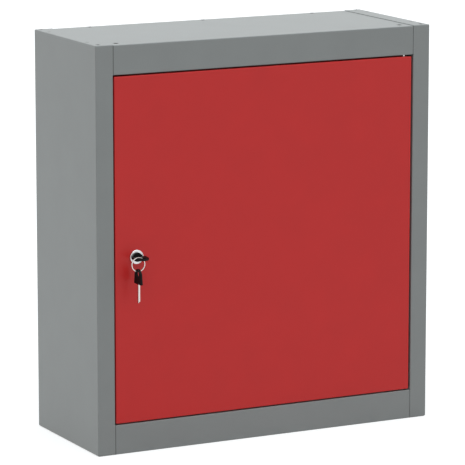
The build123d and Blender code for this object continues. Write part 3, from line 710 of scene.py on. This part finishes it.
def cut_blade(name, place, body, node):
    """A grooved strip drawn out step by step, lower on one edge at each cut and narrowed at the tip."""
    shape = bmesh.new()
    half = blade_width / 2
    thick = blade_sheet / 2
    under = [share * blade_width for share in groove_under_shares]
    top = [share * blade_width for share in groove_top_shares]
    outline = (
        (-half, -thick), (under[0], -thick), (under[0] + groove_slope, -groove_floor),
        (under[1] - groove_slope, -groove_floor), (under[1], -thick), (half, -thick),
        (half, thick), (top[1], thick), (top[1] - groove_slope, groove_floor),
        (top[0] + groove_slope, groove_floor), (top[0], thick), (-half, thick),
    )
    face = shape.faces.new([shape.verts.new((x, blade_tang, z)) for x, z in outline])
    stations = [(-blade_tang, 0), (0, 0)]
    for count, depth in enumerate(cut_depths):
        middle = first_cut + count * cut_pitch
        stations += [(middle - cut_flat_length / 2, depth), (middle + cut_flat_length / 2, depth)]
    stations.append((blade_length, 0))
    for before, after in zip(stations, stations[1:]):
        drawn = bmesh.ops.extrude_face_region(shape, geom=[face])["geom"]
        if before != stations[0]:
            bmesh.ops.delete(shape, geom=[face], context="FACES_ONLY")
        face = next(part for part in drawn if isinstance(part, bmesh.types.BMFace))
        bmesh.ops.translate(shape, verts=face.verts[:], vec=(0, before[0] - after[0], 0))
        cut_edge = sorted(face.verts, key=lambda vert: vert.co.x)[-2:]
        bmesh.ops.translate(shape, verts=cut_edge, vec=(before[1] - after[1], 0, 0))
    for side in (-1, 1):
        cut_flat(shape, (side * (half - blade_tip), -blade_length, 0), Vector((side, -1, 0)).normalized())
    bmesh.ops.transform(shape, matrix=place, verts=shape.verts[:])
    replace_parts(new_piece(name, shape, nickel_finish, body), node)


lock_key_place = key_place((1, 0, 0), (0, -1, 0), (lock_x, bow_seat_y, lock_z))
spare_key_place = key_place((0, 1, 0), (0, 0, 1), (spare_x, spare_y, spare_low.z))
moulded_bow("key_bow_moulded", lock_key_place, "lock_core", "key_bow")
cut_blade("key_blade_cut", lock_key_place, "lock_core", "key_blade")
moulded_bow("spare_key_bow_moulded", spare_key_place, "spare_key", "spare_key_bow")
cut_blade("spare_key_blade_cut", spare_key_place, "spare_key", "spare_key_blade")

# Key ring: flat spring-steel wire, nickel plated and coiled almost twice round. The turns lie close
# together, and a key is wound on between them.
ring_wire = 0.0012
ring_leaf = 0.00058
ring_pitch = 0.00060
ring_turns = 1.92
ring_steps = 160
ring_round = 0.00014
ring_round_steps = 2
ring_edge_angle = math.radians(60)
ring_low, ring_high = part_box("key_ring")
ring_centre = (ring_low + ring_high) / 2
ring_inner = (ring_high.x - ring_low.x) / 2 - ring_wire
ring_start_y = ring_centre.y - (ring_pitch * ring_turns + ring_leaf) / 2
coil = bmesh.new()
leaf_points = ((0, 0), (ring_wire, 0), (ring_wire, ring_leaf), (0, ring_leaf))
leaf = [
    coil.verts.new((ring_centre.x, ring_start_y + along, ring_centre.z + ring_inner + out))
    for out, along in leaf_points
]
leaf_sides = [coil.edges.new(pair) for pair in zip(leaf, leaf[1:] + leaf[:1])]
bmesh.ops.spin(
    coil, geom=leaf + leaf_sides, cent=ring_centre, axis=(0, 1, 0),
    dvec=(0, ring_pitch * ring_turns / ring_steps, 0), angle=math.tau * ring_turns, steps=ring_steps,
)
bmesh.ops.holes_fill(coil, edges=coil.edges[:], sides=4)
bmesh.ops.recalc_face_normals(coil, faces=coil.faces)
leaf_edges = [edge for edge in coil.edges if edge.calc_face_angle(0) > ring_edge_angle]
bmesh.ops.bevel(
    coil, geom=leaf_edges, offset=ring_round, offset_type="OFFSET", segments=ring_round_steps, profile=0.5,
    affect="EDGES", material=-1,
)
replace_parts(new_piece("key_ring_coil", coil, nickel_finish, "key_ring"), "key_ring")

# Studio: a pale floor that shows white round the object and keeps its soft shadow, an even sky, one soft
# light from above, one from the left and one from the front right.
floor_span = 60.0
floor_grey = 0.46
floor_glow = 0.66
floor_roughness = 0.9
sky_light = (0.48, 0.48, 0.48)
warm_lamp = (1.0, 0.94, 0.90)
cool_lamp = (0.84, 0.96, 1.0)
front_light_strength = 0.30
left_light_strength = 0.30
top_light_strength = 2.05


def seen_rays(tree):
    """1 for rays that show what they hit: from the camera, off gloss or through glass."""
    rays = tree.nodes.new("ShaderNodeLightPath")
    camera_ray, glossy, through = (
        Field(tree, rays.outputs[kind]) for kind in ("Is Camera Ray", "Is Glossy Ray", "Is Transmission Ray")
    )
    return camera_ray.maths("MAXIMUM", camera_ray.maths("MAXIMUM", camera_ray, glossy), through)


bpy.ops.mesh.primitive_plane_add(size=floor_span)
floor = bpy.context.object
floor.name = "floor"
floor_finish = bpy.data.materials.new("pale_floor")
floor_finish.use_nodes = True
floor_shader = floor_finish.node_tree.nodes["Principled BSDF"]
floor_shader.inputs["Base Color"].default_value = (floor_grey, floor_grey, floor_grey, 1)
floor_shader.inputs["Roughness"].default_value = floor_roughness
floor_shader.inputs["Specular IOR Level"].default_value = 0.0
floor_shader.inputs["Emission Strength"].default_value = floor_glow
floor_seen = tint(seen_rays(floor_finish.node_tree), (0, 0, 0), (1, 1, 1))
feed(floor_shader, {"Emission Color": floor_seen})
floor.data.materials.append(floor_finish)

world = bpy.data.worlds.new("studio")
bpy.context.scene.world = world
world.use_nodes = True
sky = world.node_tree.nodes["Background"]
feed(sky, {"Color": tint(seen_rays(world.node_tree), sky_light, (1, 1, 1))})


def soft_sun(name, from_direction, strength, colour, spread_degrees):
    """A wide, distant lamp that shines from the given direction."""
    lamp = bpy.data.lights.new(name, "SUN")
    lamp.energy = strength
    lamp.color = colour
    lamp.angle = math.radians(spread_degrees)
    holder = bpy.data.objects.new(name, lamp)
    holder.rotation_euler = Vector(from_direction).to_track_quat("Z", "Y").to_euler()
    bpy.context.scene.collection.objects.link(holder)


soft_sun("front_light", (0.55, -1.0, 0.35), front_light_strength, warm_lamp, spread_degrees=75)
soft_sun("left_light", (-1.0, 0.25, 0.35), left_light_strength, warm_lamp, spread_degrees=40)
soft_sun("top_light", (0.0, -0.1, 1.0), top_light_strength, cool_lamp, spread_degrees=60)

# Camera: a long lens in front of the cabinet, to its left and above it, at the photograph's viewing angle.
# Its place, tilt and lens are fitted to the straight edges of the shell and the door.
camera_place = (-2.4454, -4.7610, 1.3234)
camera_tilt = math.radians(79.351)
camera_turn = math.radians(-27.176)
camera_data = bpy.data.cameras.new("camera")
camera_data.sensor_width = 36.0
camera_data.lens = 257.37
camera = bpy.data.objects.new("camera", camera_data)
camera.location = camera_place
camera.rotation_euler = (camera_tilt, 0, camera_turn)
bpy.context.scene.collection.objects.link(camera)
bpy.context.scene.camera = camera
bpy.context.scene.view_settings.view_transform = "Standard"
